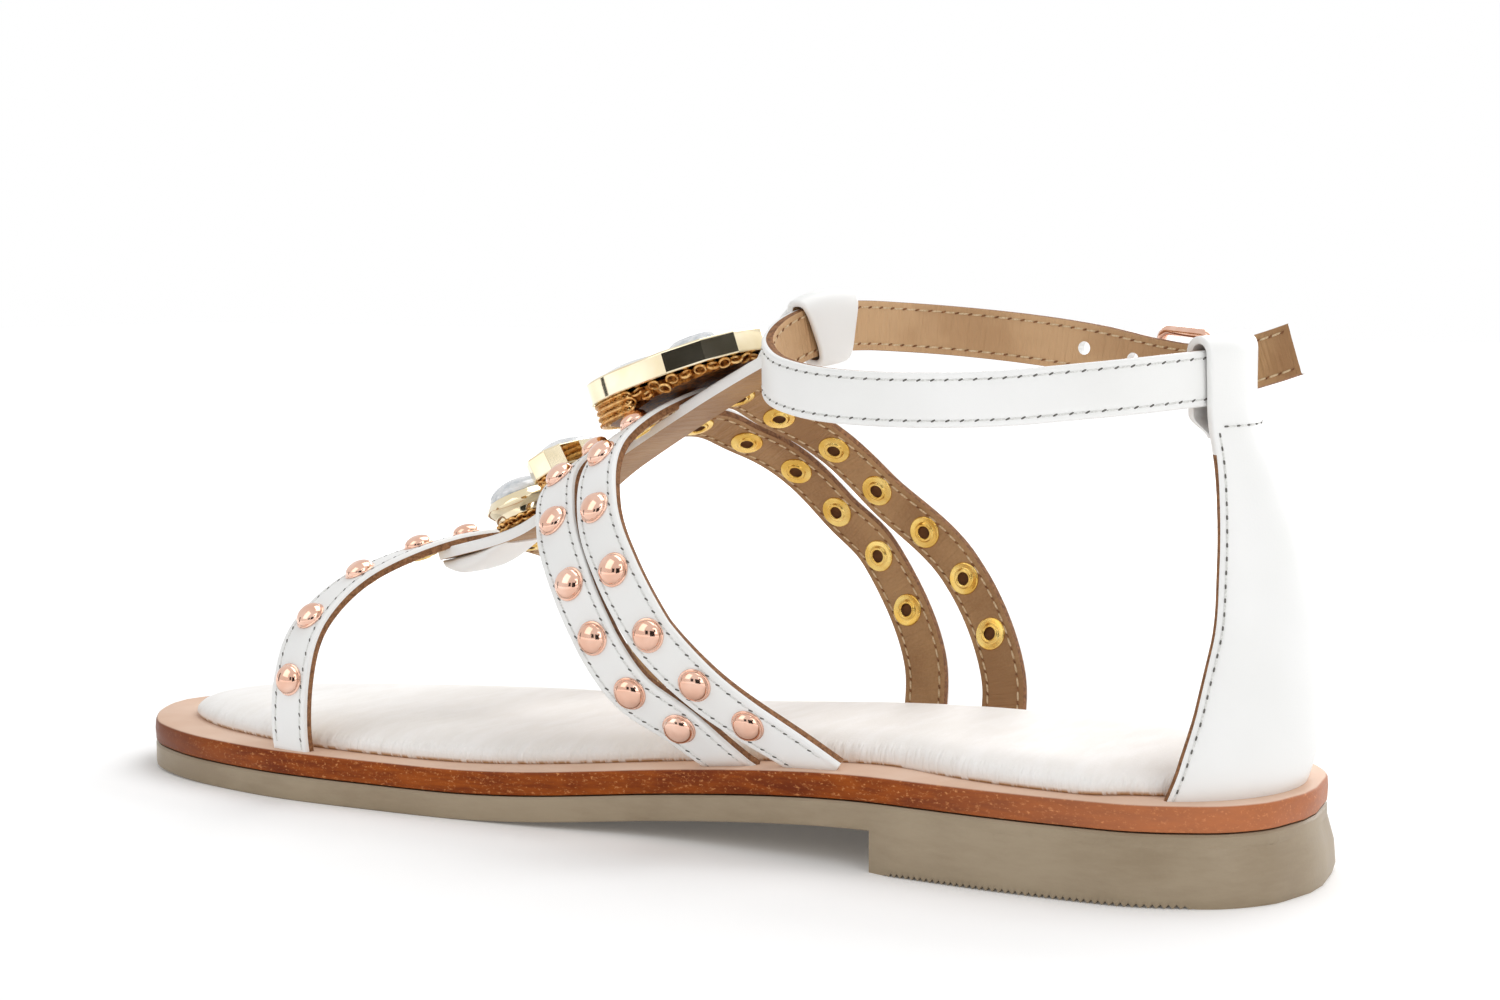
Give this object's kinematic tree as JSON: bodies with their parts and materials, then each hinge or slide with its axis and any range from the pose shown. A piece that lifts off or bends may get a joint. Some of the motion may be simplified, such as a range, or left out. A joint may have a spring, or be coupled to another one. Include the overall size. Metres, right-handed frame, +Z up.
{
  "type": "t-strap sandal",
  "caption": "Flat right-foot T-strap sandal: studded leather straps crossing the instep, jewelled ornaments, ankle strap with buckle, padded insole and low heel.",
  "frame": {"origin": "on the floor, under the centre of the whole sandal in plan", "axes": "+X towards the inner (medial) side of the foot, +Y towards the heel, +Z up; the sandal stands on its sole"},
  "size_m": [0.0882, 0.2514, 0.0992],
  "materials": {
    "outsole_rubber": "satin grey-beige rubber",
    "midsole_leather": "stacked board with a burnished red-brown edge",
    "insole_leather": "soft matt off-white",
    "white_leather": "smooth white with a slight gloss, tan lining",
    "rose_gold": "polished, pale rose gold",
    "pale_gold": "polished, pale gold",
    "fretwork_gold": "openwork, warm gold",
    "clear_stone": "faceted clear glass"
  },
  "bodies": {
    "root": {"outsole": "outsole_rubber", "midsole": "midsole_leather", "insole_pad": "insole_leather", "upper": "white_leather", "stud_toe_medial_1": "rose_gold", "stud_toe_medial_2": "rose_gold", "stud_toe_medial_3": "rose_gold", "stud_toe_medial_4": "rose_gold", "stud_toe_medial_5": "rose_gold", "stud_toe_lateral_1": "rose_gold", "stud_toe_lateral_2": "rose_gold", "stud_toe_lateral_3": "rose_gold", "stud_toe_lateral_4": "rose_gold", "stud_front_medial_1": "rose_gold", "stud_front_medial_2": "rose_gold", "stud_front_medial_3": "rose_gold", "stud_front_medial_4": "rose_gold", "stud_front_medial_5": "rose_gold", "stud_front_medial_6": "rose_gold", "stud_front_medial_7": "rose_gold", "stud_front_lateral_1": "rose_gold", "stud_front_lateral_2": "rose_gold", "stud_front_lateral_3": "rose_gold", "stud_front_lateral_4": "rose_gold", "stud_front_lateral_5": "rose_gold", "stud_front_lateral_6": "rose_gold", "stud_rear_medial_1": "rose_gold", "stud_rear_medial_2": "rose_gold", "stud_rear_medial_3": "rose_gold", "stud_rear_medial_4": "rose_gold", "stud_rear_medial_5": "rose_gold", "stud_rear_medial_6": "rose_gold", "stud_rear_medial_7": "rose_gold", "stud_rear_lateral_1": "rose_gold", "stud_rear_lateral_2": "rose_gold", "stud_rear_lateral_3": "rose_gold", "stud_rear_lateral_4": "rose_gold", "stud_rear_lateral_5": "rose_gold", "stud_rear_lateral_6": "rose_gold", "stud_rear_lateral_7": "rose_gold", "buckle_frame": "rose_gold", "buckle_prong": "rose_gold", "ankle_strap": "white_leather", "stone_front": "clear_stone", "setting_front": "pale_gold", "fretwork_front": "fretwork_gold", "stone_middle": "clear_stone", "setting_middle": "pale_gold", "fretwork_middle": "fretwork_gold", "stone_rear_large": "clear_stone", "stone_rear_medial": "clear_stone", "stone_rear_lateral": "clear_stone", "setting_rear": "pale_gold", "fretwork_rear": "fretwork_gold", "heel_counter": "white_leather"}
  },
  "joints": []
}
